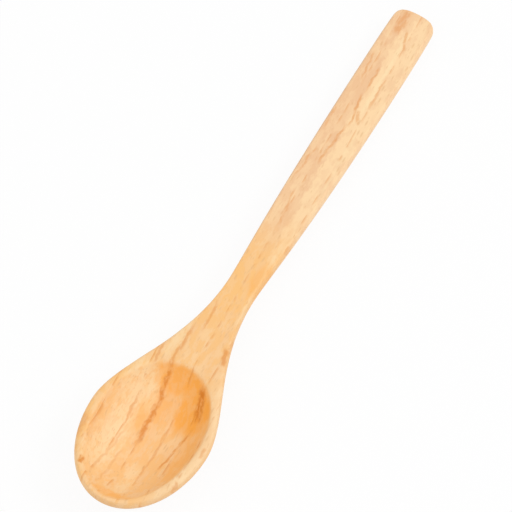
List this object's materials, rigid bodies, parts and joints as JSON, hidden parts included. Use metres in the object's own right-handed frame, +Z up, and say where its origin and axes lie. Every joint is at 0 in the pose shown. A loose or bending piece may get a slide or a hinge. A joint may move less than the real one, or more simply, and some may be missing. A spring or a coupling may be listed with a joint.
{
  "type": "wooden spoon",
  "caption": "Small wooden eating spoon with an oval bowl, a slim neck and a straight flat-topped handle, carved from one piece.",
  "frame": {"origin": "on the surface that the spoon lies on, under the middle of its outer box", "axes": "+X from the bowl's tip to the handle's end, +Y across the spoon, +Z up out of the bowl, as the spoon lies on its belly and its handle's end"},
  "size_m": [0.1898, 0.038, 0.0153],
  "materials": {
    "wood": "oiled satin beech, with grain lines along the spoon"
  },
  "bodies": {
    "root": {"spoon": "wood"}
  },
  "joints": []
}
